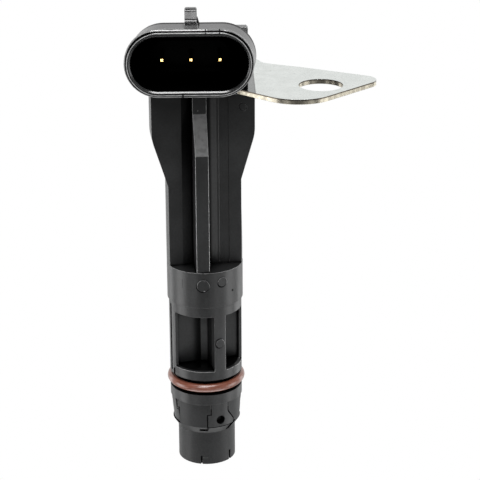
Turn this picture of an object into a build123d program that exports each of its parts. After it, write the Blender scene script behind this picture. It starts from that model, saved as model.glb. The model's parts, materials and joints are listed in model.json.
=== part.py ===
from build123d import *
from build123d import SkipClean

import math
import os

os.makedirs("parts", exist_ok=True)

# Sizes in millimetres, +Z up the stem, origin in the middle of the sensing face, connector facing -Y

# Fits, and how far a cut reaches out past the round end
FIT = 0.05
SEAM = 0.12
REACH = 12.0

# Tip cap over the sensing end
TIP_R = 6.075
TIP_WALL = 0.8
TIP_FLOOR = 0.7
CONE_Z = 7.5
SKIRT_Z = 9.3
SKIRT_R = 7.25
SKIRT_TOP = 14.6

# Probe carrier: flange, O-ring groove, open cage and the plug moulded into the housing
PROBE_CLOCK = 14.8
BAND_R = 7.63
NECK_R = 6.1
CORE_R = 5.2
FLANGE_Z = 14.73
GROOVE_Z = 17.0
GROOVE_H = 3.38
WINDOW_Z = 22.4
WINDOW_TOP = 34.8
PLUG_Z = 37.05
PLUG_TOP = 43.2
PLUG_R = 6.1
WEB_HALF = 1.45
POST_W = 2.48
POST_OFF = 1.14
PANEL_AZ = 23.6
LEFT_PANEL_AZ = -76.2
PANEL_LEAN = 0.28

# O-ring
RING_SECTION = 1.78
RING_OD = 16.44

# Steel mounting plate; its underside is the height that the head is measured from
PLATE_T = 1.0
PLATE_Z = 81.25
PLATE_L = -9.6
PLATE_FRONT = -2.3
PLATE_REAR = 22.4
EAR_X = 11.0
EAR_BOW = 7.9
EAR_NOSE = 3.3
HOLE_D = 9.0
HOLE_X = 23.87
SLOT_X = -0.3
SLOT_Y = 0.5
SLOT_W = 13.0
SLOT_H = 3.4
ANCHOR_X = 4.6
ANCHOR_Y = 9.0
ANCHOR_R = 1.9

# Stem paddle
COLLAR_R = 7.93
COLLAR_TOP = 44.8
STEM_R = 7.895
STEM_CLOCK = 6.0
STEM_FRONT = 2.5
STEM_BACK = 3.0
SHOULDER_Z = 62.4
SHOULDER_ROUND = 9.0
TAPER_TOP = 57.0
FLANK_L = 0.314
FLANK_R = 0.297
HEAD_L = -10.705
HEAD_R = 10.31
RIB_W = 2.66
RIB_OFF = -1.1
RIB_DRAFT = 0.17
RIB_LOW = 7.52
RIB_HIGH = 3.96
RAMP_LOW = PLATE_Z - 11.45
RAMP_TOP = PLATE_Z - 3.6

# Head block behind the connector
BLOCK_L = -10.8
BLOCK_R = 9.15
BLOCK_BACK = 1.0
BLOCK_FRONT = -1.2
BLOCK_TOP = PLATE_Z + 13.35
NECK_L = -11.2
NECK_X = 6.9
FOOT_BACK = 16.0
FOOT_TOP = PLATE_Z + 6.25

# Connector: an obround lip in front, and a body that runs a little to the right behind it
LIP_X = -2.535
LIP_CZ = PLATE_Z + 8.95
LIP_Y = -13.0
LIP_W = 25.27
LIP_H = 13.5
LIP_STEP = 0.42
LIP_SET = 0.45
FLANGE_T = 1.25
MOUTH_X = -2.46
MOUTH_W = 23.0
MOUTH_H = 10.85
MOUTH_LEAD = 0.3
SHROUD_BACK = -6.1
BODY_X = -1.74
BODY_CZ = PLATE_Z + 8.94
BODY_W = 24.85
BODY_H = 13.48
MOUTH_FLOOR = 0.75
PLUG_X = -2.17
PLUG_CZ = PLATE_Z + 9.02
SOCKET_FLOOR = -2.5
TAB_W = 2.4
TAB_H = 3.12
TAB_T = 1.6
TAB_BACK = -6.65

# Terminals
PIN_PITCH = 5.67
PIN_SIDE = 0.64
PIN_TIP_Y = -9.63
LEG_PITCH = 2.54
LEG_W = 1.2
LEG_T = 0.6
LEG_Y = -0.6
LEG_BOTTOM = 8.6

# Sensing parts
CHIP_X = 4.1
CHIP_Y = 3.2
CHIP_T = 1.5
MAGNET_R = 2.4
MAGNET_L = 4.0
POLE_T = 0.6
CHIP_Z = TIP_FLOOR + 0.2


def turned(points):
    """Solid of revolution about the stem from (radius, height) corners."""
    return revolve(Plane.XZ * make_face(Polyline(*points, close=True)), Axis.Z)


def clocked(shape, degrees):
    return Rot(0, 0, degrees) * shape


def box_between(x0, x1, y0, y1, z0, z1):
    size = (x1 - x0, y1 - y0, z1 - z0)
    return Pos((x0 + x1) / 2, (y0 + y1) / 2, (z0 + z1) / 2) * Box(*size)


def on_wall(radius, azimuth, height):
    """Frame on a round wall, its Z pointing outwards; azimuth 0 is the front, positive to the right."""
    a = math.radians(azimuth)
    out = (math.sin(a), -math.cos(a), 0)
    spot = (radius * out[0], radius * out[1], height)
    return Plane(origin=spot, x_dir=(math.cos(a), math.sin(a), 0), z_dir=out)


def plate_like(points, z0, z1):
    face = make_face(Polyline(*points, close=True))
    return extrude(Plane.XY.offset(z0) * face, z1 - z0)


# Terminals: stamped strips, a long leg down the stem, a jog under the connector, a pin facing forward
def terminal(index):
    leg_x = index * LEG_PITCH
    pin_x = PLUG_X + index * PIN_PITCH
    half = LEG_W / 2
    jog_z = PLATE_Z + PLATE_T + 1.2
    top = PLUG_CZ + PIN_SIDE / 2
    outline = [
        (leg_x - half, LEG_BOTTOM),
        (leg_x + half, LEG_BOTTOM),
        (leg_x + half, jog_z),
        (pin_x + half, PLUG_CZ - 2.0),
        (pin_x + half, top),
        (pin_x - half, top),
        (pin_x - half, PLUG_CZ - 2.0),
        (leg_x - half, jog_z),
    ]
    strip = extrude(Plane.XZ * make_face(Polyline(*outline, close=True)), LEG_T)
    strip = Pos(0, LEG_Y + LEG_T, 0) * strip
    side = PIN_SIDE / 2
    pin = box_between(pin_x - side, pin_x + side, PIN_TIP_Y, LEG_Y, PLUG_CZ - side, PLUG_CZ + side)
    pin = chamfer(pin.faces().sort_by(Axis.Y)[0].edges(), 0.06)
    return strip + pin


supply_terminal = terminal(-1)
ground_terminal = terminal(0)
signal_terminal = terminal(1)
terminals = [supply_terminal, ground_terminal, signal_terminal]

# Sensing parts stacked on the stem axis: chip at the face, pole piece, then the bias magnet
chip_top = CHIP_Z + CHIP_T
lead_y = MAGNET_R + 0.6
hall_chip = Pos(0, 0, CHIP_Z + CHIP_T / 2) * Box(CHIP_X, CHIP_Y, CHIP_T)
hall_chip = chamfer(hall_chip.faces().sort_by(Axis.Z)[-1].edges(), 0.2)
for side in (-1, 0, 1):
    lead_x = side * 1.27
    leg_x = side * LEG_PITCH
    lead_z = CHIP_Z + 0.6
    lead_l = lead_x - 0.2
    lead_r = lead_x + 0.2
    hall_chip += box_between(lead_l, lead_r, CHIP_Y / 2 - 0.1, lead_y + 0.35, lead_z, lead_z + 0.35)
    hall_chip += box_between(lead_l, lead_r, lead_y, lead_y + 0.35, lead_z, LEG_BOTTOM)
    splay = [
        (lead_l, lead_y + 0.35),
        (lead_r, lead_y + 0.35),
        (leg_x + 0.3, LEG_Y + LEG_T),
        (leg_x + 0.3, LEG_Y),
        (leg_x - 0.3, LEG_Y),
        (leg_x - 0.3, LEG_Y + LEG_T),
    ]
    hall_chip += plate_like(splay, LEG_BOTTOM - 0.35, LEG_BOTTOM)
pole_piece = Pos(0, 0, chip_top + POLE_T / 2) * Cylinder(MAGNET_R, POLE_T)
magnet_z = chip_top + POLE_T
bias_magnet = Pos(0, 0, magnet_z + MAGNET_L / 2) * Cylinder(MAGNET_R, MAGNET_L)
bias_magnet = chamfer(bias_magnet.edges().group_by(Axis.Z)[-1], 0.25)


# Filter capacitors, each bridging two neighbouring strips inside the cage web
def capacitor(x_mid):
    body = Pos(x_mid, LEG_Y - 0.4, 28.6) * Box(2.0, 0.8, 1.25)
    return fillet(body.edges().filter_by(Axis.Z), 0.08)


supply_capacitor = capacitor(-LEG_PITCH / 2)
output_capacitor = capacitor(LEG_PITCH / 2)
inserts = terminals + [hall_chip, pole_piece, bias_magnet, supply_capacitor, output_capacitor]

# O-ring, bedded in its groove
ring_r = (RING_OD - RING_SECTION) / 2
ring_z = GROOVE_Z + GROOVE_H / 2 - 0.05
groove_r = ring_r - RING_SECTION / 2
o_ring = Pos(0, 0, ring_z) * Torus(ring_r, RING_SECTION / 2)


def panel_outline(grow):
    """Tongue of the carrier between two cap fingers, wider below, seen along its own azimuth."""
    g = grow
    return [
        (-1.90 - g, SKIRT_TOP + 0.4),
        (-1.90 - g, 12.15 + g),
        (-2.64 - g, 12.15 + g),
        (-2.64 - g, SKIRT_Z - g),
        (3.30 + g, SKIRT_Z - g),
        (3.30 + g, 10.2 + g),
        (1.80 + g, 12.45 + g),
        (1.80 + g, SKIRT_TOP + 0.4),
    ]


def panel(azimuth, inner, outer_low, outer_high, grow, mirrored):
    points = panel_outline(grow)
    if mirrored:
        points = [(-x, z) for x, z in points]
    face = make_face(Polyline(*points, close=True))
    prism = extrude(on_wall(0, azimuth, 0) * face, REACH)
    top = SKIRT_TOP + 0.4
    shell = turned([(inner, 0), (outer_low, 0), (outer_low, SKIRT_Z), (outer_high, top), (inner, top)])
    return prism & shell


# Front panel, left panel turned the other way round and leaning in towards the tip, and their two opposites
PANELS = [
    (PANEL_AZ, 0.0, False),
    (LEFT_PANEL_AZ, PANEL_LEAN, True),
    (PANEL_AZ + 180, 0.0, False),
    (LEFT_PANEL_AZ + 180, PANEL_LEAN, True),
]

# Probe carrier
sensor_carrier = turned([
    (0, TIP_FLOOR + FIT),
    (CORE_R - 0.4, TIP_FLOOR + FIT),
    (CORE_R, TIP_FLOOR + 0.4 + FIT),
    (CORE_R, SKIRT_Z - 0.5),
    (NECK_R, SKIRT_Z + FIT),
    (NECK_R, FLANGE_Z),
    (BAND_R, FLANGE_Z),
    (BAND_R, GROOVE_Z),
    (groove_r, GROOVE_Z),
    (groove_r, GROOVE_Z + GROOVE_H),
    (BAND_R, GROOVE_Z + GROOVE_H),
    (BAND_R, PLUG_Z),
    (PLUG_R, PLUG_Z),
    (PLUG_R, PLUG_TOP),
    (0, PLUG_TOP),
])
for groove_at in (PLUG_Z + 1.3, PLUG_Z + 3.3):
    sensor_carrier -= turned([
        (PLUG_R - 0.5, groove_at),
        (PLUG_R + 1, groove_at - 0.5),
        (PLUG_R + 1, groove_at + 1.3),
        (PLUG_R - 0.5, groove_at + 0.8),
    ])

# Open cage: a cross of webs inside the round outline, with a fillet where the front web meets the slab
cage_zone = turned([(0, WINDOW_Z), (BAND_R + 1, WINDOW_Z), (BAND_R + 1, WINDOW_TOP), (0, WINDOW_TOP)])
post_l = POST_OFF - POST_W / 2
post_r = POST_OFF + POST_W / 2
bevel = 1.5
cross = [
    (-BAND_R - 1, -WEB_HALF),
    (post_l - bevel, -WEB_HALF),
    (post_l, -WEB_HALF - bevel * 0.45),
    (post_l, -BAND_R - 1),
    (post_r, -BAND_R - 1),
    (post_r, -WEB_HALF),
    (BAND_R + 1, -WEB_HALF),
    (BAND_R + 1, WEB_HALF + 0.6),
    (-post_l + bevel, WEB_HALF + 0.6),
    (-post_l, WEB_HALF + 0.6 + bevel),
    (-post_l, BAND_R + 1),
    (-post_r, BAND_R + 1),
    (-post_r, WEB_HALF + 0.6),
    (-BAND_R - 1, WEB_HALF + 0.6),
]
cage = plate_like(cross, WINDOW_Z, WINDOW_TOP)
rail_x = BAND_R - 0.95
for x in (-BAND_R - 1, rail_x):
    cage += box_between(x, x + BAND_R + 1 - rail_x, -2.47, -1.0, WINDOW_Z, WINDOW_TOP)
    cage += box_between(x, x + BAND_R + 1 - rail_x, 1.6, 3.2, WINDOW_Z, WINDOW_TOP)
cage = clocked(cage, PROBE_CLOCK)
sensor_carrier -= cage_zone - cage

# Parting slot down the left side of the cage and its bands
slot = box_between(-BAND_R - 1, -BAND_R + 0.55, -0.95, -0.2, GROOVE_Z + GROOVE_H + 0.6, PLUG_Z - 1.0)
sensor_carrier -= clocked(slot, PROBE_CLOCK)
slot = box_between(-BAND_R - 1, -BAND_R + 0.45, -2.3, -1.5, GROOVE_Z + GROOVE_H, GROOVE_Z + GROOVE_H + 1.5)
sensor_carrier -= clocked(slot, PROBE_CLOCK)

# Panels between the cap fingers, with the moulding pin hole in the front one
for azimuth, lean, mirrored in PANELS:
    sensor_carrier += panel(azimuth, NECK_R - 0.3, SKIRT_R - lean, SKIRT_R + lean, 0.0, mirrored)
sensor_carrier -= extrude(on_wall(SKIRT_R - 1.2, 24.3, 10.81) * Circle(0.95), 3)

# Raised gate button on the front post
button = extrude(on_wall(BAND_R - 0.5, 22.8, 28.8) * Circle(0.93), 0.78)
sensor_carrier += button

# Tip cap with four fingers reaching up around the carrier panels
tip_cap = turned([
    (0, 0),
    (TIP_R - 0.04, 0),
    (TIP_R, 0.04),
    (TIP_R, CONE_Z),
    (SKIRT_R, SKIRT_Z),
    (SKIRT_R, SKIRT_TOP),
    (NECK_R + FIT, SKIRT_TOP),
    (NECK_R + FIT, SKIRT_Z + FIT),
    (CORE_R + FIT, SKIRT_Z - 0.5),
    (CORE_R + FIT, TIP_FLOOR),
    (0, TIP_FLOOR),
])
for azimuth, lean, mirrored in PANELS:
    tip_cap -= panel(azimuth, NECK_R - 0.5, SKIRT_R + 1, SKIRT_R + 1, SEAM, mirrored)

# Dark relief slots where the fingers were shut off in the mould
front = on_wall(0, PANEL_AZ, 0)
left = on_wall(0, LEFT_PANEL_AZ, 0)


def relief(plane, x0, x1, z0, z1, depth, outer):
    """Slot cut from a face of the cap, seen along the frame's own azimuth."""
    block = Pos((x0 + x1) / 2, (z0 + z1) / 2, 0) * extrude(Rectangle(x1 - x0, z1 - z0), REACH)
    return (plane * block) - Cylinder(outer - depth, 60)


slots = relief(front, -2.03, -1.74, 12.2, 14.4, 0.7, SKIRT_R)
slots += relief(front, -2.8, -2.45, 9.0, 12.1, 0.7, SKIRT_R)
slots += relief(front, -3.95, -2.4, 8.2, 8.75, 0.7, TIP_R + 0.6)
slots += relief(left, 1.85, 2.15, 12.6, 14.6, 0.7, SKIRT_R)
slots += relief(left, 2.6, 2.92, 9.0, 12.9, 0.7, SKIRT_R)
diagonal = [(1.9, 7.6), (2.75, 7.6), (3.75, 9.2), (3.75, 9.7), (3.0, 9.7), (1.9, 8.1)]
diagonal = make_face(Polyline(*diagonal, close=True))
slots += extrude(front * diagonal, REACH) - Cylinder(TIP_R - 0.1, 60)
tip_cap -= slots

# Snap tab slits in the rim of the sensing end
for azimuth, height, width in ((-11.3, 1.95, 0.3), (52.8, 2.15, 0.45), (148.0, 1.9, 0.3), (212.0, 2.2, 0.45)):
    slit = extrude(on_wall(TIP_R - 0.5, azimuth, height / 2 - 0.2) * Rectangle(width, height + 0.4), 3)
    tip_cap -= slit

# Steel plate: straight edges, each corner with its own rounding; the ear ends in a nose behind the bolt
corners = [
    (19.33, -13.57, EAR_BOW),
    (37.57, 4.67, EAR_NOSE),
    (20.5, 14.1, 12.0),
    (14.9, PLATE_REAR - 5.7, 3.0),
    (12.6, PLATE_REAR - 4.2, 1.6),
    (11.8, PLATE_REAR - 1.7, 1.6),
    (9.3, PLATE_REAR, 1.6),
    (PLATE_L + 4.1, PLATE_REAR, 3.0),
    (PLATE_L, PLATE_REAR - 4.0, 3.0),
    (PLATE_L, PLATE_FRONT, 1.5),
    (6.99, PLATE_FRONT, 0.5),
]
plate_face = make_face(Polyline(*[(x, y) for x, y, rounding in corners], close=True))
for x, y, rounding in corners:
    corner = plate_face.vertices().sort_by_distance(Vector(x, y, 0))[0]
    plate_face = fillet(corner, rounding)
plate_face -= Pos(HOLE_X, 0) * Circle(HOLE_D / 2)

# Openings that the housing plastic flows through: one for the strips, two anchors
plate_face -= Pos(SLOT_X, SLOT_Y) * RectangleRounded(SLOT_W, SLOT_H, 1.2)
for side in (-1, 1):
    plate_face -= Pos(side * ANCHOR_X, ANCHOR_Y) * Circle(ANCHOR_R)

# The bare ear outside the housing keeps an underside of its own, the seat on the engine
ear_side = Pos(EAR_X + 50, 0) * Rectangle(100, 200)
ear = extrude(Plane.XY.offset(PLATE_Z) * (plate_face & ear_side), PLATE_T)
saddle = extrude(Plane.XY.offset(PLATE_Z) * (plate_face - ear_side), PLATE_T)
with SkipClean():
    mounting_bracket = ear + saddle

# Housing: collar and paddle stem, round at its edges, flattened a little on the right
housing = turned([(0, PLUG_Z), (COLLAR_R, PLUG_Z), (COLLAR_R, COLLAR_TOP), (0, COLLAR_TOP)])
wing_low = SHOULDER_Z - 2.5
wing_top = SHOULDER_Z + 2.5
stem_outline = [
    (-STEM_R - 1, PLUG_Z + 1),
    (STEM_R, PLUG_Z + 1),
    (STEM_R, COLLAR_TOP),
    (STEM_R - 0.42, TAPER_TOP),
    (STEM_R - 0.42, wing_top),
    (-STEM_R - 1, wing_top),
]
left_turn = PLATE_Z - 9.1
right_turn = PLATE_Z - 8.65
wing_outline = [
    (HEAD_L + FLANK_L * (left_turn - wing_low), wing_low),
    (HEAD_R - FLANK_R * (right_turn - wing_low), wing_low),
    (HEAD_R, right_turn),
    (HEAD_R, PLATE_Z),
    (HEAD_L, PLATE_Z),
    (HEAD_L, left_turn),
]
wing_face = make_face(Polyline(*wing_outline, close=True))
for x, z in (wing_outline[2], wing_outline[5]):
    corner = wing_face.vertices().sort_by_distance(Vector(x, z, 0))[0]
    wing_face = fillet(corner, SHOULDER_ROUND)


def paddle(face):
    """Thick plate in the stem plane from an outline seen from the front."""
    return Pos(0, STEM_BACK, 0) * extrude(Plane.XZ * face, STEM_FRONT + STEM_BACK)


round_stem = Pos(-0.025, 0, 0) * Cylinder(STEM_R, PLATE_Z * 2)
stem = paddle(make_face(Polyline(*stem_outline, close=True))) & round_stem
stem += paddle(wing_face)

# Beside the rib the front face falls away: a sloping recess on the left, a slope and a step on the right
front_y = -STEM_FRONT
out_y = front_y - 1
step_y = front_y + 0.09
deep_y = front_y + 0.49
relief_l = [(-4.73, front_y), (-2.3, deep_y), (-2.3, out_y), (-4.73, out_y)]
step_r = [(2.9, out_y), (2.9, step_y), (4.9, step_y), (4.9, out_y)]
slope_r = [(0.0, deep_y), (0.0, front_y - 0.48), (2.95, step_y), (2.95, deep_y)]
stem -= plate_like(relief_l, COLLAR_TOP, PLATE_Z)
stem -= plate_like(step_r, COLLAR_TOP, PLATE_Z)
stem += plate_like(slope_r, COLLAR_TOP - 1, PLATE_Z)


# Ribs stiffening the paddle, flat in front, reaching the round below and stepping back up a ramp to the head
def rib(deep_low, deep_high):
    side = [
        (0, COLLAR_TOP - 3),
        (-deep_low, COLLAR_TOP - 3),
        (-deep_low, RAMP_LOW),
        (-deep_high, RAMP_TOP),
        (-deep_high, PLATE_Z),
        (0, PLATE_Z),
    ]
    body = extrude(Plane.YZ * make_face(Polyline(*side, close=True)), 6, both=True)
    draft = [
        (-RIB_W / 2 - RIB_DRAFT, 0),
        (RIB_W / 2 + RIB_DRAFT, 0),
        (RIB_W / 2, -RIB_LOW),
        (-RIB_W / 2, -RIB_LOW),
    ]
    return Pos(RIB_OFF, 0, 0) * (body & plate_like(draft, COLLAR_TOP - 3, PLATE_Z))


front_rib = rib(RIB_LOW, RIB_HIGH)
back_rib = mirror(rib(RIB_LOW - 0.4, RIB_HIGH + 1), Plane.XZ)
stem += front_rib + back_rib

# Ejector pin mark on the right shoulder of the paddle
stem -= Pos(7.88, -STEM_FRONT, PLATE_Z - 2.85) * Rot(90, 0, 0) * (Cylinder(0.85, 0.5) - Cylinder(0.72, 2))
housing += clocked(stem, STEM_CLOCK)

# Bosses on the collar
housing += extrude(on_wall(COLLAR_R - 1, -2.6, 42.05) * Circle(1.3), 1.2)
housing += extrude(on_wall(COLLAR_R - 1, 26.6, 42.55) * Circle(1.05), 1.12)

# Head block above the plate with a foot behind it and a clamp pad under the plate
plate_top = PLATE_Z + PLATE_T
block = box_between(BLOCK_L, BLOCK_R, BLOCK_FRONT, BLOCK_BACK, plate_top, BLOCK_TOP)
block = chamfer(block.edges().filter_by(Axis.Y).group_by(Axis.Z)[-1], 0.3)
block += box_between(NECK_L, NECK_X, SHROUD_BACK - 0.2, BLOCK_FRONT, plate_top, BLOCK_TOP)
foot_w = BLOCK_R - BLOCK_L
foot_d = FOOT_BACK - BLOCK_BACK
foot_x = (BLOCK_L + BLOCK_R) / 2
foot_y = (BLOCK_BACK + FOOT_BACK) / 2
foot_low = Plane.XY.offset(plate_top) * Pos(foot_x, foot_y - 1)
foot_high = Plane.XY.offset(FOOT_TOP) * Pos(foot_x, foot_y - 1.6)
foot = loft([
    foot_low * RectangleRounded(foot_w, foot_d + 2, 2.0),
    foot_high * RectangleRounded(foot_w - 1.6, foot_d + 0.8, 1.6),
])
foot = chamfer(foot.faces().sort_by(Axis.Z)[-1].edges(), 0.5)
pad = Plane.XY.offset(PLATE_Z - 2.0) * Pos(-0.3, (FOOT_BACK - STEM_FRONT) / 2) * RectangleRounded(
    18.4, FOOT_BACK + STEM_FRONT - 2.6, 2.0
)
pad = extrude(pad, 2.0)
through = Pos(SLOT_X, SLOT_Y, PLATE_Z + PLATE_T / 2) * Box(SLOT_W, SLOT_H, PLATE_T + 2)
anchors = Pos(-ANCHOR_X, ANCHOR_Y, PLATE_Z + PLATE_T / 2) * Cylinder(ANCHOR_R, PLATE_T + 1)
anchors += Pos(ANCHOR_X, ANCHOR_Y, PLATE_Z + PLATE_T / 2) * Cylinder(ANCHOR_R, PLATE_T + 1)


# Connector: the body is lofted from the lip to a back outline that sits a little further right
def ring_at(x, z, y, width, height):
    """Obround outline in a plane across the plug."""
    return Plane.XZ.offset(-y) * Pos(x, z) * SlotOverall(width, height)


def lip_slab(grow, y0, y1):
    """Obround slab around the lip's own middle, between two depths."""
    return extrude(ring_at(LIP_X, LIP_CZ, y1, LIP_W + 2 * grow, LIP_H + 2 * grow), y1 - y0)


flange_y = LIP_Y + LIP_SET
body_front = ring_at(LIP_X, LIP_CZ, flange_y + 0.4, LIP_W - 0.4, LIP_H - 0.4)
body_back = ring_at(BODY_X, BODY_CZ, SHROUD_BACK, BODY_W, BODY_H)
shroud = loft([body_front, body_back])
shroud = chamfer(shroud.faces().sort_by(Axis.Y)[-1].edges(), 0.2)
flange = lip_slab(0, flange_y, flange_y + FLANGE_T)
flange = chamfer(flange.faces().sort_by(Axis.Y)[0].edges(), 0.3)
nose = lip_slab(-LIP_STEP, LIP_Y, flange_y + 0.6)
nose = chamfer(nose.faces().sort_by(Axis.Y)[0].edges(), 0.14)
crevice = lip_slab(-LIP_STEP + 0.13, flange_y - 0.5, flange_y + 0.35)
crevice -= lip_slab(-LIP_STEP, flange_y - 1, flange_y + 1)
shroud += flange - crevice
shroud += nose
mouth_y = SHROUD_BACK - MOUTH_FLOOR
mouth = extrude(ring_at(MOUTH_X, LIP_CZ, mouth_y, MOUTH_W, MOUTH_H), mouth_y - LIP_Y + 1)
lead_in = loft([
    ring_at(MOUTH_X, LIP_CZ, LIP_Y - 0.01, MOUTH_W + 2 * MOUTH_LEAD, MOUTH_H + 2 * MOUTH_LEAD),
    ring_at(MOUTH_X, LIP_CZ, LIP_Y + MOUTH_LEAD, MOUTH_W, MOUTH_H),
])
inner_socket = Pos(PLUG_X, PLUG_CZ) * RectangleRounded(2 * PIN_PITCH + 4.4, 6.4, 2.8)
socket = extrude(Plane.XZ.offset(-SOCKET_FLOOR) * inner_socket, SOCKET_FLOOR - LIP_Y - 1)

# Latch tab on the shroud with a low ramp in front of it, and two shallow wedges beside the lip
roof = BODY_CZ + BODY_H / 2
tab_x = PLUG_X + 0.05
tab = box_between(tab_x - TAB_W / 2, tab_x + TAB_W / 2, TAB_BACK - TAB_T, TAB_BACK, roof - 0.6, roof + TAB_H)
tab = fillet(tab.edges().filter_by(Axis.Y).group_by(Axis.Z)[-1], 0.35)
crown_at = Plane.YZ * Pos(TAB_BACK - TAB_T / 2 + 0.5, roof + TAB_H / 2)
crown = crown_at * RectangleRounded(TAB_T + 1, TAB_H + 3, 0.55)
tab &= Pos(tab_x, 0, -1.5) * extrude(crown, TAB_W, both=True)
flare = [
    (tab_x - TAB_W / 2, -0.4),
    (tab_x + TAB_W / 2 + 0.45, -0.4),
    (tab_x + TAB_W / 2 + 0.45, 0.2),
    (tab_x + TAB_W / 2 + 0.15, 1.2),
    (tab_x + TAB_W / 2 - 0.2, 1.6),
    (tab_x - TAB_W / 2, 1.0),
]
flare = [(x, roof + z) for x, z in flare]
tab += Pos(0, TAB_BACK, 0) * extrude(Plane.XZ * make_face(Polyline(*flare, close=True)), 1.2)


def roof_wedge(profile, top, x0, x1):
    """Low rise on the shroud from a side profile of (depth, height over the given top)."""
    points = [(y, top + z) for y, z in profile]
    return extrude(Plane.YZ.offset(x0) * make_face(Polyline(*points, close=True)), x1 - x0)


ramp = [
    (TAB_BACK - TAB_T + 0.4, -0.5),
    (LIP_Y + 0.9, -0.5),
    (LIP_Y + 0.9, 0.05),
    (TAB_BACK - TAB_T, 0.4),
    (TAB_BACK - TAB_T + 0.4, 0.4),
]
tab += roof_wedge(ramp, roof, tab_x - 1.3, tab_x + 1.4)
cove_r = 0.8
cove_y = TAB_BACK - TAB_T - cove_r
cove_z = roof + 0.36 + cove_r
cove = Pos(cove_y + 0.5, cove_z - 0.5) * Rectangle(1.0, 1.0) - Pos(cove_y, cove_z) * Circle(cove_r)
tab += Pos(tab_x, 0, 0) * extrude(Plane.YZ * cove, TAB_W / 2, both=True)
wedge_l = [(2.6, -0.6), (0.8, -0.6), (0.8, 0.07), (1.7, 0.07), (2.6, -0.15)]
wedge_r = [(2.3, -0.6), (0.6, -0.6), (0.6, 0.0), (1.0, 0.06), (2.3, -0.15)]
wedge_l = [(LIP_Y + y, z) for y, z in wedge_l]
wedge_r = [(LIP_Y + y, z) for y, z in wedge_r]
lip_top = LIP_CZ + LIP_H / 2
tab += roof_wedge(wedge_l, lip_top, -7.1, -4.5)
tab += roof_wedge(wedge_r, lip_top, 1.1, 4.2)

housing += block + foot + pad + through + anchors
housing += shroud + tab
housing -= mouth + lead_in + socket
housing -= sensor_carrier
housing -= mounting_bracket
for piece in terminals:
    housing -= piece
for piece in inserts:
    sensor_carrier -= piece

export_step(housing, "parts/housing.step")
export_step(sensor_carrier, "parts/sensor_carrier.step")
export_step(tip_cap, "parts/tip_cap.step")
export_step(mounting_bracket, "parts/mounting_bracket.step")
export_step(o_ring, "parts/o_ring.step")
export_step(supply_terminal, "parts/supply_terminal.step")
export_step(ground_terminal, "parts/ground_terminal.step")
export_step(signal_terminal, "parts/signal_terminal.step")
export_step(hall_chip, "parts/hall_chip.step")
export_step(pole_piece, "parts/pole_piece.step")
export_step(bias_magnet, "parts/bias_magnet.step")
export_step(supply_capacitor, "parts/supply_capacitor.step")
export_step(output_capacitor, "parts/output_capacitor.step")
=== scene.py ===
import json

import bpy
from mathutils import Matrix, Vector


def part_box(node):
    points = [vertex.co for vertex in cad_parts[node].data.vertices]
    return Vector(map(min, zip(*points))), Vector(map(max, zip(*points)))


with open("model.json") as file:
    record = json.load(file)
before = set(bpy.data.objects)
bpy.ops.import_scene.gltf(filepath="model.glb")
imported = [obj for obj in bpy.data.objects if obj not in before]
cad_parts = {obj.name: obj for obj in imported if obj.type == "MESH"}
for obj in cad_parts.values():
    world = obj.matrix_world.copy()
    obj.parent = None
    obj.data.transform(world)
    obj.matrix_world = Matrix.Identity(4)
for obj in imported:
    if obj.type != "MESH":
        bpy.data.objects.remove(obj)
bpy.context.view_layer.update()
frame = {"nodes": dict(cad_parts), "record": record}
NODES = frame["nodes"]


# Blender works in metres, and the places on the part are in millimetres of the row frame
MM = 0.001


def millimetres(point):
    """A point in millimetres, where the frame gives it in metres."""
    return [round(value / MM, 3) for value in point]


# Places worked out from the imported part
MOUNTS = {mount["name"]: mount for mount in frame["record"]["mounts"]}
PLATE_Z = millimetres(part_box("mounting_bracket")[0])[2]
PLATE_TOP = millimetres(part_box("mounting_bracket")[1])[2]
LIP_Y = millimetres(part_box("housing")[0])[1]
PIN_TIP_Y = millimetres(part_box("ground_terminal")[0])[1]
SOCKET_Z = millimetres(MOUNTS["plug_socket"]["pos_m"])[2]
HOLE_X, HOLE_Y, _ = millimetres(MOUNTS["bolt_hole"]["pos_m"])
HOLE_R = MOUNTS["bolt_hole"]["dims"]["r_mm"]

# Other places that several of the masks below go by
EAR_ROOT_X = 10.4
COLLAR_TOP = 44.8
WINDOW_Z = 22.4
WINDOW_TOP = 34.8

# Slots of a Mix node that mixes colours
MIX_FACTOR = 0
MIX_A = 6
MIX_B = 7
MIX_RESULT = 2

# Stretch of a noise that runs in streaks along Z
STREAKED = (1.0, 1.0, 0.3)

# Cosine between the rounded normal and the face's own, from a full edge to none
EDGE_COSINE = (0.9, 0.992)

# Height of a normal, from an upright face to a level one
LEVEL_NORMAL_Z = (0.3, 0.7)

# Colours, in linear light; a pair is the darker and the paler one of a mottled surface
HOUSING_BLACK = (0.013, 0.0133, 0.0138)
CARRIER_BLACK = (0.014, 0.0145, 0.0152)
CAP_BLACK = (0.0125, 0.013, 0.0136)
CHIP_BLACK = (0.015, 0.015, 0.015)
CERAMIC = (0.42, 0.30, 0.18)
ZINC_FACE = ((0.65, 0.68, 0.655), (0.715, 0.745, 0.72))
ZINC_CUT = ((0.07, 0.055, 0.045), (0.56, 0.52, 0.42))
BROWN_RUBBER = ((0.225, 0.072, 0.042), (0.285, 0.094, 0.057))
GOLD = ((0.78, 0.47, 0.14), (0.95, 0.66, 0.26))
SOFT_IRON = ((0.25, 0.25, 0.26), (0.34, 0.34, 0.35))
MAGNET_GREY = ((0.10, 0.10, 0.105), (0.16, 0.16, 0.165))

# Dark and pale flecks of a moulded colour, as shares of it
DARK_FLECK = 0.62
PALE_FLECK = 1.42


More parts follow.
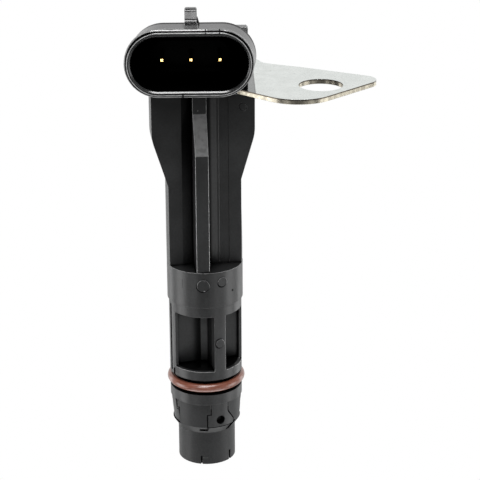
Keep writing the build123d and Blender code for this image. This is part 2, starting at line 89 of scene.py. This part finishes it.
class Graph:
    """A node tree, with short ways to add nodes and wire them."""

    def __init__(self, tree):
        self.nodes, self.links = tree.nodes, tree.links
        self.nodes.clear()

    def feed(self, socket, value):
        """Gives an input a number, a vector or another node's output."""
        if isinstance(value, bpy.types.NodeSocket):
            self.links.new(value, socket)
        else:
            socket.default_value = value

    def add(self, kind, inputs=None, **settings):
        """A new shader node with its settings and inputs."""
        node = self.nodes.new("ShaderNode" + kind)
        for name, value in settings.items():
            setattr(node, name, value)
        for slot, value in (inputs or {}).items():
            self.feed(node.inputs[slot], value)
        return node

    def math(self, op, *values):
        """What a Math node makes of the values."""
        return self.add("Math", dict(enumerate(values)), operation=op).outputs["Value"]

    def joined(self, op, values):
        """The values taken together, two at a time."""
        result = values[0]
        for value in values[1:]:
            result = self.math(op, result, value)
        return result

    def product(self, *values):
        return self.joined("MULTIPLY", values)

    def total(self, *values):
        return self.joined("ADD", values)

    def largest(self, *values):
        return self.joined("MAXIMUM", values)

    def part(self, vector, name):
        """One of X, Y and Z of a vector."""
        return self.add("SeparateXYZ", {"Vector": vector}).outputs[name]

    def span(self, value, low, high, start=0.0, end=1.0):
        """Goes smoothly from low, where the value is start or less, to high, where it is end or more."""
        inputs = {"Value": value, "From Min": start, "From Max": end, "To Min": low, "To Max": high}
        return self.add("MapRange", inputs, interpolation_type="SMOOTHSTEP").outputs["Result"]

    def rise(self, value, start, end):
        return self.span(value, 0.0, 1.0, start, end)

    def fall(self, value, start, end):
        return self.span(value, 1.0, 0.0, start, end)

    def between(self, value, low, high, soft):
        """1 from low to high, fading over soft to both sides of each."""
        up = self.rise(value, low - soft, low + soft)
        return self.product(up, self.fall(value, high - soft, high + soft))

    def dimmed(self, mask, share):
        """1 outside a mask, and only a share of it inside."""
        return self.span(mask, 1.0, share)

    def blend(self, factor, a, b, kind="MIX"):
        """Colour between a and b; each is a colour or another node's output."""
        node = self.add("Mix", data_type="RGBA", blend_type=kind)
        for slot, value in ((MIX_FACTOR, factor), (MIX_A, a), (MIX_B, b)):
            self.feed(node.inputs[slot], (*value, 1.0) if isinstance(value, tuple) else value)
        return node.outputs[MIX_RESULT]

    def tint(self, colour, factor):
        """Colour times a value."""
        return self.blend(1.0, colour, factor, "MULTIPLY")


class Material(Graph):
    """A material with one principled shader, and ways to say where on the part something is."""

    def __init__(self, name):
        self.mat = bpy.data.materials.new(name)
        self.mat.use_nodes = True
        super().__init__(self.mat.node_tree)
        self.shader = self.add("BsdfPrincipled")
        self.add("OutputMaterial", {"Surface": self.shader.outputs["BSDF"]})
        self.point = self.add("TexCoord").outputs["Object"]

    def put(self, name, value):
        """Sets one input of the shader."""
        self.feed(self.shader.inputs[name], value)

    def noise(self, scale, detail, stretch=(1.0, 1.0, 1.0)):
        """Noise in the row frame, 0 to 1; scale is in blotches per metre."""
        mapping = self.add("Mapping", {"Vector": self.point, "Scale": stretch})
        inputs = {"Vector": mapping.outputs["Vector"], "Scale": scale, "Detail": detail}
        return self.add("TexNoise", inputs).outputs["Fac"]

    def axis(self, name):
        """One coordinate of the row frame, in millimetres."""
        return self.product(self.part(self.point, name), 1 / MM)

    def offset(self, name, middle):
        """How far past a place on an axis, in millimetres."""
        return self.math("SUBTRACT", self.axis(name), middle)

    def hypotenuse(self, a, b):
        return self.math("SQRT", self.total(self.product(a, a), self.product(b, b)))

    def zone(self, place, soft):
        """1 inside a box, given by ranges of X, Y and Z, and fading over soft at its sides."""
        return self.product(*[self.between(self.axis(name), *ends, soft) for name, ends in place.items()])

    def facing(self, name):
        """How far a face looks along one axis."""
        return self.part(self.add("NewGeometry").outputs["Normal"], name)

    def upright(self):
        """1 on upright faces, 0 on level ones."""
        return self.fall(self.math("ABSOLUTE", self.facing("Z")), *LEVEL_NORMAL_Z)

    def crevice(self, reach, low, shut, clear):
        """Falls from 1 in the open to low in gaps narrower than reach, which is in metres."""
        open_share = self.add("AmbientOcclusion", {"Distance": reach}, samples=8).outputs["AO"]
        return self.span(open_share, low, 1.0, shut, clear)

    def surface(self, radius, height, strength, depth, lean=None):
        """Rounds the edges for the light to catch and puts fine bumps on top; gives the rounded normal."""
        rounded = self.add("Bevel", {"Radius": radius}, samples=8).outputs["Normal"]
        inputs = {"Strength": strength, "Distance": depth, "Height": height, "Normal": rounded}
        normal = self.add("Bump", inputs).outputs["Normal"]
        if lean is not None:
            lift = self.add("CombineXYZ", {"Z": lean}).outputs["Vector"]
            normal = self.add("VectorMath", {0: normal, 1: lift}, operation="ADD").outputs["Vector"]
            normal = self.add("VectorMath", {0: normal}, operation="NORMALIZE").outputs["Vector"]
        self.put("Normal", normal)
        return rounded

    def edges(self, rounded):
        """1 where the rounded normal is off the face's own."""
        flat = self.add("NewGeometry").outputs["Normal"]
        agree = self.add("VectorMath", {0: rounded, 1: flat}, operation="DOT_PRODUCT").outputs["Value"]
        return self.fall(agree, *EDGE_COSINE)


def scaled(tone, share):
    """A colour times a number."""
    return tuple(level * share for level in tone)


def plastic(name, tone, rough, edge, line=0.4, sheen=0.8, lean=None, fill=None, dark=None, highlight_strength=None,
            pale_marks_and_light=None, shaded_edges=None, gloss=None):
    """Moulded plastic: blotches and a fine grain, painted highlights on edges, painted shade where little
    light gets in.

    edge is how far edges are rounded, in metres, and line is the grey of the painted highlights on edges.
    The
    others are functions of the material that say where:
    lean, how far a face leans towards the light above;
    fill, which gaps stay open to the light, out of the painted shade;
    dark, the share of the light that is left, painted into the colour as shade;
    worn, how strong the painted highlights on edges are;
    marks, pale spots and painted light;
    seams, where rounded edges get painted shade;
    gloss, where it is glossy.
    """
    m = Material(name)
    blotch = m.noise(scale=180, detail=5)
    bumps = m.noise(scale=5200, detail=3)
    radius = edge(m) if callable(edge) else edge
    rounded = m.surface(radius, bumps, strength=0.16, depth=0.06 * MM, lean=lean(m) if lean else None)
    edges = m.edges(rounded)

    # Painted shade in wide and narrow gaps, from ambient occlusion; light scales the colour and the specular
    # level
    wide_gap_shade = m.crevice(reach=3.5 * MM, low=0.12, shut=0.25, clear=0.8)
    narrow_gap_shade = m.crevice(reach=0.7 * MM, low=0.1, shut=0.45, clear=0.85)
    light = m.product(wide_gap_shade, narrow_gap_shade)
    if fill:
        light = m.largest(light, fill(m))
    if dark:
        light = m.product(light, dark(m))

    flecks = m.noise(scale=2600, detail=2)
    speckle = m.rise(m.total(m.product(blotch, 0.5), m.product(flecks, 0.5)), start=0.36, end=0.64)
    shade = m.blend(speckle, scaled(tone, DARK_FLECK), scaled(tone, PALE_FLECK))
    # Painted highlights along rounded edges, stronger where an edge faces up and broken up by noise
    broken = m.span(m.noise(scale=900, detail=3), 0.6, 1.0, start=0.3, end=0.6)
    from_above = m.span(m.part(rounded, "Z"), 0.1, 1.0, start=-0.35, end=0.0)
    edge_highlight = m.product(edges, from_above, broken)
    if highlight_strength:
        edge_highlight = m.product(edge_highlight, highlight_strength(m))
    # Pale spots and painted light from marks, laid on in the same grey as the edge highlights
    if pale_marks_and_light:
        edge_highlight = m.largest(edge_highlight, m.product(pale_marks_and_light(m), broken))
    shade = m.blend(m.product(edge_highlight, light), shade, (line, line, line))
    # Painted shade on the rounded edges that seams picks out
    if shaded_edges:
        light = m.product(light, m.dimmed(m.product(edges, shaded_edges(m)), share=0.1))
    m.put("Base Color", m.tint(shade, light))
    m.put("Specular IOR Level", m.product(light, sheen))

    grain = m.span(blotch, rough - 0.05, rough + 0.06)
    if gloss:
        grain = m.product(grain, m.dimmed(gloss(m), share=0.6))
    m.put("Roughness", grain)
    return m


def metal(name, dull, bright, rough, light=None, lean=None):
    """Bare metal, faintly mottled; light and lean are functions, as in plastic."""
    m = Material(name)
    blotch = m.noise(scale=2500, detail=3)
    tone = m.blend(m.rise(blotch, start=0.3, end=0.7), dull, bright)
    if light:
        tone = m.tint(tone, light(m))
    m.put("Base Color", tone)
    m.put("Roughness", m.span(blotch, rough - 0.05, rough + 0.05))
    m.put("Metallic", 1.0)
    m.surface(0.05 * MM, blotch, strength=0.08, depth=0.03 * MM, lean=lean(m) if lean else None)
    return m


def paint(node, m):
    mesh = NODES[node].data
    mesh.materials.clear()
    mesh.materials.append(m.mat)


# Connector, in millimetres. An obround is the middle in X and Z and half of its straight stretch
LIP = (-2.535, SOCKET_Z, 5.885)
MOUTH = (-2.46, SOCKET_Z, 6.07)

# Distances from an obround's middle line
MOUTH_WALL = (5.45, 5.55)
NOSE_EDGE = (6.08, 6.22)
LIP_GAP = (6.22, 6.54)
FLANGE_EDGE = (6.62, 6.8)

# Stretches of an axis over which something changes
BEHIND_LIP_Y = (LIP_Y + 0.27, LIP_Y + 0.4)
SOCKET_FLOOR_Y = (-2.6, -2.2)
NOSE_FRONT_Y = (LIP_Y + 0.3, LIP_Y + 0.4)
LIP_FRONT_Y = (LIP_Y + 1.0, LIP_Y + 1.3)
TAB_FRONT_Y = (-7.9, -7.5)
WALL_FRONT_Y = (-5.2, -5.0)
PLUG_END_Z = (SOCKET_Z - 7.2, SOCKET_Z - 6.6)
HEAD_START_Z = (PLATE_Z - 0.05, PLATE_Z + 0.15)
TOWARDS_LIP_Z = (PLATE_Z - 17.25, PLATE_Z - 0.25)
LEFT_STRIP_Z = (PLATE_Z - 29.25, PLATE_Z - 5.25)

# Boxes on the connector and the head
GAP_DEPTH = {"Y": (LIP_Y + 0.1, LIP_Y + 1.1)}
FLANGE_DEPTH = {"Y": (LIP_Y - 0.1, LIP_Y + 0.8)}
SHROUD_END = {"Y": (-7.35, -6.24), "Z": (SOCKET_Z - 6.6, SOCKET_Z + 7.05)}
LIP_NICKS = (
    {"X": (0.6, 0.82), "Z": (SOCKET_Z + 6.0, SOCKET_Z + 7.0)},
    {"X": (3.3, 3.52), "Z": (SOCKET_Z + 6.0, SOCKET_Z + 7.0)},
    {"X": (-3.95, -3.65), "Z": (SOCKET_Z - 6.9, SOCKET_Z - 5.7)},
)
LATCH_TAB = {"X": (-3.5, -0.8), "Z": (SOCKET_Z + 7.0, SOCKET_Z + 10.8)}
HEAD_BLOCK = {"X": (5.0, 9.4), "Y": (-1.6, -0.8), "Z": (PLATE_Z + 4.75, PLATE_Z + 13.55)}

# Boxes on the stem
RIB_FRONT = {"X": (-3.0, 2.0), "Y": (-9.0, -3.4), "Z": (COLLAR_TOP + 0.2, PLATE_Z + 0.05)}
RIB_SLOPE = {"X": (-2.6, 1.6), "Y": (-7.8, -3.5), "Z": (PLATE_Z - 11.4, PLATE_Z - 3.65)}
RIB_SPECK = {"X": (-1.1, -0.92), "Y": (-5.2, -3.7), "Z": (PLATE_Z - 3.05, PLATE_Z - 2.8)}
LEFT_STRIP = {"X": (-4.4, -1.8), "Y": (-3.5, -1.6)}
RIGHT_STRIP = {"Y": (-3.5, -1.9), "Z": (COLLAR_TOP + 0.2, PLATE_Z + 0.05)}
RIGHT_STRIP_WIDTH = {"X": (0.3, 1.5)}
PADDLE_FACE = {"X": (-8.0, 8.5), "Y": (-3.6, -1.5), "Z": (COLLAR_TOP + 0.7, PLATE_Z - 0.25)}

# Boxes and bosses on the collar; a boss is the middle in X and Z and the radius
LARGE_BOSS = (-0.42, 42.1, 1.27)
SMALL_BOSS = (3.58, 42.5, 0.85)
BOSS_NICK = {"X": (-0.3, 0.0), "Y": (-8.3, -7.7), "Z": (40.75, 41.0)}
COLLAR_SPOT = {"X": (5.5, 5.85), "Y": (-7.0, -4.0), "Z": (39.9, 40.35)}
COLLAR_ARC = {"X": (-4.72, -4.58), "Y": (-7.5, -5.5), "Z": (41.1, 43.0)}

# Shares of the light that are left in dark places
SOCKET_LIGHT = 0.03
LINE_LIGHT = 0.05
NEAR_LIP_LIGHT = 0.6
LEFT_STRIP_LIGHT = 0.15
RIGHT_STRIP_LIGHT = 0.2

# Height of the normal on the slope of the rib's ramp, which sets it off from the rib's sides
SLOPE_NORMAL_Z = (0.2, 0.35)

# How much the painted highlights, the specks, the painted light on the ramp's slope and the dark arc show
NOSE_PALE = 0.55
FLANGE_PALE = 0.385
SPECK_PALE = 0.4
SLOPE_PALE = 0.28
ARC_DARK = 0.5


def from_middle(m, obround):
    """How far a point is from an obround's middle line, seen from the front, in millimetres."""
    x, z, half = obround
    past = m.largest(m.math("SUBTRACT", m.math("ABSOLUTE", m.offset("X", x)), half), 0.0)
    return m.hypotenuse(past, m.offset("Z", z))


def from_centre(m, x, z):
    """How far a point is from a centre, seen from the front, in millimetres."""
    return m.hypotenuse(m.offset("X", x), m.offset("Z", z))


def under_boss(m, boss):
    """1 in the thin shadow under a round boss on the front, a little to its left."""
    x, z, radius = boss
    shadow = m.fall(from_centre(m, x - 0.1, z - 0.22), radius, radius + 0.12)
    outside = m.rise(from_centre(m, x, z), radius - 0.05, radius + 0.05)
    return m.product(shadow, outside, m.fall(m.axis("Y"), *WALL_FRONT_Y))


def lip_front(m):
    """1 on the front edges of the socket."""
    return m.fall(m.axis("Y"), *LIP_FRONT_Y)


def in_socket(m):
    """1 inside the socket, from just behind its lip to its floor."""
    depth = m.axis("Y")
    inside = m.fall(from_middle(m, MOUTH), *MOUTH_WALL)
    return m.product(inside, m.rise(depth, *BEHIND_LIP_Y), m.fall(depth, *SOCKET_FLOOR_Y))


def dark_lines(m):
    """1 in the lip's gap, along the rear edge of the socket's body, in nicks and in the bosses' shadows."""
    gap = m.product(m.between(from_middle(m, LIP), *LIP_GAP, soft=0.04), m.zone(GAP_DEPTH, soft=0.03))
    nicks = m.largest(*[m.zone(nick, soft=0.05) for nick in LIP_NICKS])
    nicks = m.product(nicks, lip_front(m))
    spot = m.zone(COLLAR_SPOT, soft=0.06)
    arc = m.product(m.zone(COLLAR_ARC, soft=0.05), ARC_DARK)
    bosses = m.largest(under_boss(m, LARGE_BOSS), under_boss(m, SMALL_BOSS))
    return m.largest(gap, m.zone(SHROUD_END, soft=0.04), nicks, bosses, spot, arc)


def stem_light(m):
    """Share of the light on the stem: less towards the lip, and in the strips beside the rib."""
    height = m.axis("Z")
    near_lip = m.span(height, 1.0, NEAR_LIP_LIGHT, *TOWARDS_LIP_Z)
    left = m.product(m.zone(LEFT_STRIP, soft=0.1), m.rise(height, *LEFT_STRIP_Z))
    right = m.product(m.zone(RIGHT_STRIP, soft=0.1), m.zone(RIGHT_STRIP_WIDTH, soft=0.45))
    stem = m.product(near_lip, m.dimmed(left, LEFT_STRIP_LIGHT), m.dimmed(right, RIGHT_STRIP_LIGHT))
    return m.largest(stem, m.rise(height, *HEAD_START_Z))


def housing_light(m):
    """Almost no light gets into the socket and the dark lines."""
    socket = m.dimmed(in_socket(m), SOCKET_LIGHT)
    return m.product(socket, stem_light(m), m.dimmed(dark_lines(m), LINE_LIGHT))


def lip_edge_highlights(m):
    """Painted highlights along the outer edge of the nose and, fainter, of the flange around it."""
    far = from_middle(m, LIP)
    nose = m.product(m.between(far, *NOSE_EDGE, soft=0.04), m.fall(m.axis("Y"), *NOSE_FRONT_Y))
    flange = m.product(m.between(far, *FLANGE_EDGE, soft=0.04), m.zone(FLANGE_DEPTH, soft=0.05))
    return m.largest(m.product(nose, NOSE_PALE), m.product(flange, FLANGE_PALE))


def pale_specks_and_painted_light(m):
    """Painted highlights on the lip, a nick under the large boss, a speck on the rib, painted light on the
    ramp's slope.
    """
    specks = m.largest(m.zone(BOSS_NICK, soft=0.05), m.zone(RIB_SPECK, soft=0.05))
    slope = m.product(m.zone(RIB_SLOPE, soft=0.05), m.rise(m.facing("Z"), *SLOPE_NORMAL_Z))
    return m.largest(lip_edge_highlights(m), m.product(specks, SPECK_PALE), m.product(slope, SLOPE_PALE))


def housing_edge(m):
    """How far edges are rounded, in metres: more on the front of the rib."""
    return m.span(m.zone(RIB_FRONT, soft=0.2), 0.13 * MM, 0.21 * MM)


def housing_edge_highlight(m):
    """Painted highlights on edges: strongest on the rib's, weaker on the lip's and weakest on the paddle's.
    """
    rib = m.span(m.zone(RIB_FRONT, soft=0.2), 0.5, 1.0)
    paddle = m.dimmed(m.zone(PADDLE_FACE, soft=0.1), share=0.1)
    return m.product(rib, m.dimmed(lip_front(m), share=0.3), paddle)


def connector_gloss(m):
    """The plug end is smoother than the stem."""
    return m.rise(m.axis("Z"), *PLUG_END_Z)


def head_lean(m):
    """The latch tab's front leans back and catches light from above, and so does the head block, less."""
    tilt = m.span(m.noise(scale=1800, detail=2, stretch=STREAKED), 0.36, 0.44, start=0.3, end=0.7)
    tab = m.product(m.zone(LATCH_TAB, soft=0.1), tilt, m.fall(m.axis("Y"), *TAB_FRONT_Y))
    block = m.product(m.zone(HEAD_BLOCK, soft=0.1), 0.5)
    return m.total(tab, block)


paint("housing", plastic(
    "moulded_black", HOUSING_BLACK, rough=0.38, edge=housing_edge, line=0.95,
    lean=head_lean, dark=housing_light, highlight_strength=housing_edge_highlight, pale_marks_and_light=pale_specks_and_painted_light, gloss=connector_gloss
))

# Carrier and tip cap, in millimetres
CAGE_INSIDE = {"Y": (-5.2, 3.0), "Z": (WINDOW_Z - 0.1, WINDOW_TOP + 0.1)}
COLUMN_FRONT = {"X": (-0.95, 0.3), "Y": (-5.2, 0.5), "Z": (WINDOW_Z - 0.1, WINDOW_TOP + 0.1)}
COLUMN_SIDE = {"X": (0.35, 2.1)}
WINDOW_FLOOR = {"Z": (WINDOW_Z - 0.1, WINDOW_Z + 0.3)}
FLOOR_EDGE = {"Z": (WINDOW_Z - 0.6, WINDOW_Z + 0.6)}
FLOOR_RADIUS = (6.7, 6.95)
WEB_SHADE_X = (-3.6, -1.2)
WEB_END_X = (-1.1, -1.0)
POST = {"X": (3.4, 5.2), "Y": (-8.0, -5.5), "Z": (20.0, 37.0)}
POST_PIP = (2.96, 28.7, 0.83)
LEFT_SLIT = {"X": (-7.35, -6.95), "Y": (-2.4, 0.5), "Z": (19.3, 36.4)}
RIGHT_SLIT = {"X": (6.0, 7.2), "Y": (-4.8, 0.0), "Z": (20.0, 40.5)}
BELOW_FLANGE = {"Z": (0.9, 13.6)}
TIP_MARK = {"X": (-1.0, 0.2), "Y": (-6.5, -5.5), "Z": (1.4, 1.62)}

# Shares of the light that are left beside the column and in closed places
BESIDE_COLUMN_LIGHT = 0.22
CLOSED_LIGHT = 0.1

# How much the painted shade on the window floors, the painted light in the right slit and on the column, and
# the tip's pale mark show
FLOOR_DARK = 0.9
RIGHT_SLIT_FILL = 0.9
COLUMN_PALE = 0.025
SLIT_PALE = 0.1
TIP_PALE = 0.6


def carrier_edge_highlight(m):
    """Painted highlights on edges: strongest on the right edge of the front post and along the windows'
    floors.
    """
    return m.span(m.largest(m.zone(POST, soft=0.1), m.zone(FLOOR_EDGE, soft=0.2)), 0.25, 1.0)


def cage_light(m):
    """Little light gets to both sides of the cage's column, its floor, the left slit and under the pip."""
    x = m.axis("X")
    web = m.product(m.rise(x, *WEB_SHADE_X), m.fall(x, *WEB_END_X))
    beside = m.product(m.largest(web, m.zone(COLUMN_SIDE, soft=0.12)), m.zone(CAGE_INSIDE, soft=0.2))
    within_wall = m.fall(m.hypotenuse(x, m.axis("Y")), *FLOOR_RADIUS)
    floor = m.product(within_wall, m.zone(WINDOW_FLOOR, soft=0.05), FLOOR_DARK)
    closed = m.largest(floor, m.zone(LEFT_SLIT, soft=0.05), under_boss(m, POST_PIP))
    return m.product(m.dimmed(beside, BESIDE_COLUMN_LIGHT), m.dimmed(closed, CLOSED_LIGHT))


def right_slit_light(m):
    """Painted light in the slit beside the right rail: it is kept out of the painted shade and made paler.
    """
    return m.product(m.zone(RIGHT_SLIT, soft=0.1), RIGHT_SLIT_FILL)


def painted_light_in_cage(m):
    """Painted light on the front of the column inside the cage, and on the right slit."""
    column = m.product(m.zone(COLUMN_FRONT, soft=0.1), COLUMN_PALE)
    return m.largest(column, m.product(right_slit_light(m), SLIT_PALE))


def tip_mark(m):
    """A short pale mark near the end of the tip."""
    return m.product(m.zone(TIP_MARK, soft=0.06), TIP_PALE)


def low_edge_shade(m):
    """1 below the flange, where rounded edges get painted shade."""
    return m.zone(BELOW_FLANGE, soft=0.1)


paint("sensor_carrier", plastic(
    "carrier_black", CARRIER_BLACK, rough=0.40, edge=0.14 * MM, line=0.7,
    fill=right_slit_light, dark=cage_light, highlight_strength=carrier_edge_highlight, pale_marks_and_light=painted_light_in_cage, shaded_edges=low_edge_shade
))
paint("tip_cap", plastic(
    "cap_black", CAP_BLACK, rough=0.5, edge=0.22 * MM, line=0.1, sheen=0.6,
    pale_marks_and_light=tip_mark, shaded_edges=low_edge_shade
))

# Plate, in millimetres: where it enters the head, beside which it gets a painted dark reflection with a
# darker edge line, its cut edge's dark line, and the wall of its hole
ROOT_FADE_X = (EAR_ROOT_X, EAR_ROOT_X + 0.1)
REFLECTED_EDGE_X = (EAR_ROOT_X, EAR_ROOT_X + 0.2)
TOP_LINE_Z = (PLATE_TOP - 0.25, PLATE_TOP + 0.15)
HOLE_WALL = (HOLE_R + 0.2, HOLE_R + 0.4)


def zinc(name):
    """Zinc-plated sheet: mottled faces with a few dark specks, streaked cut edges, and a painted dark
    reflection beside the head.
    """
    m = Material(name)
    mottle = m.rise(m.noise(scale=420, detail=6), start=0.3, end=0.72)
    specks = m.span(m.noise(scale=2300, detail=5), 1.0, 0.62, start=0.62, end=0.7)
    # Painted reflection of the head: darker towards the head, with a dark line along its edge
    root = m.span(m.axis("X"), 0.28, 1.0, *ROOT_FADE_X)
    reflected_edge = m.dimmed(m.between(m.axis("X"), *REFLECTED_EDGE_X, soft=0.06), share=0.25)
    face = m.tint(m.blend(mottle, *ZINC_FACE), specks)
    face = m.tint(face, m.product(root, reflected_edge))

    streaks = m.span(m.noise(scale=1100, detail=3, stretch=STREAKED), 0.66, 1.0, start=0.38, end=0.62)
    top_line = m.dimmed(m.between(m.axis("Z"), *TOP_LINE_Z, soft=0.05), share=0.1)
    from_hole = m.hypotenuse(m.offset("X", HOLE_X), m.offset("Y", HOLE_Y))
    hole_wall = m.span(from_hole, 0.75, 1.0, *HOLE_WALL)
    cut = m.blend(m.product(streaks, top_line, hole_wall), *ZINC_CUT)

    grain = m.noise(scale=3600, detail=4)
    face_rough = m.span(grain, 0.16, 0.3, start=0.3, end=0.7)
    m.put("Base Color", m.blend(m.upright(), face, cut))
    m.put("Roughness", m.total(face_rough, m.span(m.upright(), 0.0, 0.08)))
    m.put("Metallic", 1.0)
    m.surface(0.08 * MM, grain, strength=0.25, depth=0.04 * MM)
    return m


paint("mounting_bracket", zinc("zinc_plate"))


def rubber(name):
    """Brown seal rubber with an oily shine."""
    m = Material(name)
    blotch = m.noise(scale=900, detail=4)
    m.put("Base Color", m.blend(m.rise(blotch, start=0.3, end=0.75), *BROWN_RUBBER))
    m.put("Roughness", m.span(blotch, 0.27, 0.33))
    m.put("Specular IOR Level", 1.0)
    m.put("Coat Weight", 0.4)
    m.put("Coat Roughness", 0.15)
    m.surface(0.1 * MM, m.noise(scale=6000, detail=2), strength=0.08, depth=0.04 * MM)
    return m


paint("o_ring", rubber("brown_rubber"))

# Pins: how deep daylight reaches from their tips, and how long the domed ends are
PIN_LIT_Y = (PIN_TIP_Y + 0.03, PIN_TIP_Y + 0.28)
PIN_DOME_Y = (PIN_TIP_Y + 0.03, PIN_TIP_Y + 0.13)


def pin_light(m):
    """Only the ends of the pins see daylight inside the socket."""
    return m.span(m.axis("Y"), 1.0, 0.02, *PIN_LIT_Y)


def pin_lean(m):
    """The pin ends are domed and catch light from above."""
    return m.span(m.axis("Y"), 0.36, 0.0, *PIN_DOME_Y)


gold = metal("gold_strip", *GOLD, rough=0.25, light=pin_light, lean=pin_lean)
for node in ("supply_terminal", "ground_terminal", "signal_terminal"):
    paint(node, gold)

# Hidden parts
paint("hall_chip", plastic("chip_black", CHIP_BLACK, rough=0.5, edge=0.05 * MM))
paint("pole_piece", metal("soft_iron", *SOFT_IRON, rough=0.4))
paint("bias_magnet", metal("magnet_grey", *MAGNET_GREY, rough=0.45))
for node in ("supply_capacitor", "output_capacitor"):
    paint(node, plastic("ceramic_" + node, CERAMIC, rough=0.4, edge=0.04 * MM))

# Light: soft boxes facing the middle of the object, each with its place and size in metres and its watts
MIDDLE = Vector((0.0, 0.0, 0.06))
BOXES = {
    "overhead": ((0.0, -0.15, 0.60), (0.3, 0.14), 1.9),
    "front_high": ((-0.09, -0.49, 0.37), (0.3, 0.12), 0.85),
    "floor": ((0.0, -0.04, -0.40), (0.5, 0.3), 1.0),
    "low_front": ((0.0, -0.36, -0.28), (0.4, 0.12), 0.15),
    "right_front": ((0.30, -0.40, -0.18), (0.12, 0.3), 0.14),
    "left_front": ((-0.30, -0.40, -0.18), (0.12, 0.3), 0.14),
    "right_side": ((0.49, -0.087, -0.05), (0.26, 0.5), 0.78),
    "left_side": ((-0.49, -0.087, -0.05), (0.26, 0.5), 1.1),
    "right_back": ((0.42, 0.28, 0.0), (0.14, 0.5), 0.42),
    "left_back": ((-0.42, 0.28, 0.0), (0.14, 0.5), 0.5),
}


def soft_box(name, spot, size, power):
    data = bpy.data.lights.new(name, "AREA")
    data.shape = "RECTANGLE"
    data.size, data.size_y = size
    data.energy = power
    obj = bpy.data.objects.new(name, data)
    bpy.context.scene.collection.objects.link(obj)
    obj.location = spot
    obj.rotation_euler = (MIDDLE - Vector(spot)).to_track_quat("-Z", "Y").to_euler()
    obj.visible_camera = False


for name, (spot, size, power) in BOXES.items():
    soft_box(name, spot, size, power)

# Surroundings: their level along each half of an axis, first towards plus and then towards minus
SKY = {"X": (0.3, 0.1), "Y": (1.0, 0.12), "Z": (0.0, 0.25)}
SKY_COLOUR = (0.98, 1.0, 1.0, 1.0)
WHITE = (1.0, 1.0, 1.0, 1.0)

# Y part of the directions in which mirrored rays start to see the backdrop, and see nothing else
BACKWARDS = (0.6, 0.9)


def surroundings():
    """A white backdrop for the camera and for mirrored rays that run back to it, and levels for the rest."""
    world = bpy.data.worlds.new("surroundings")
    bpy.context.scene.world = world
    world.use_nodes = True
    g = Graph(world.node_tree)
    direction = g.add("TexCoord").outputs["Generated"]
    levels = []
    for name, (plus, minus) in SKY.items():
        value = g.part(direction, name)
        towards_plus = g.math("GREATER_THAN", value, 0.0)
        gain = g.total(g.product(towards_plus, plus - minus), minus)
        levels.append(g.product(value, value, gain))
    lit = g.add("Background", {"Color": SKY_COLOUR, "Strength": g.total(*levels)})
    seen = g.add("Background", {"Color": WHITE})
    rays = g.add("LightPath").outputs
    mirrored = g.largest(rays["Is Glossy Ray"], rays["Is Transmission Ray"])
    mirrored = g.product(mirrored, g.rise(g.part(direction, "Y"), *BACKWARDS))
    sees_white = g.largest(rays["Is Camera Ray"], mirrored)
    shown = g.add("MixShader", {0: sees_white, 1: lit.outputs["Background"], 2: seen.outputs["Background"]})
    g.add("OutputWorld", {"Surface": shown.outputs["Shader"]})


surroundings()

# Camera, as fitted to the photograph: where it is, in metres, and the directions of its picture
PHOTO_WIDTH = 480.0
SENSOR_WIDTH = 36.0
FOCAL_PIXELS = 1736.61
EYE = (0.0, -0.33808943, 0.17686004)
RIGHT = Vector((0.9997062117, -0.0237338022, -0.0049190302))
DOWN = Vector((-0.0129900597, -0.3532877693, -0.9354245081))
AHEAD = Vector((0.0204633470, 0.9352135899, -0.3534922810))


def add_camera():
    data = bpy.data.cameras.new("camera")
    data.sensor_width = SENSOR_WIDTH
    data.lens = SENSOR_WIDTH * FOCAL_PIXELS / PHOTO_WIDTH
    data.clip_start = 0.01
    data.clip_end = 10.0
    camera = bpy.data.objects.new("camera", data)
    bpy.context.scene.collection.objects.link(camera)
    camera.matrix_world = Matrix.Translation(EYE) @ Matrix((RIGHT, -DOWN, -AHEAD)).transposed().to_4x4()
    bpy.context.scene.camera = camera


add_camera()
bpy.context.scene.view_settings.view_transform = "Standard"
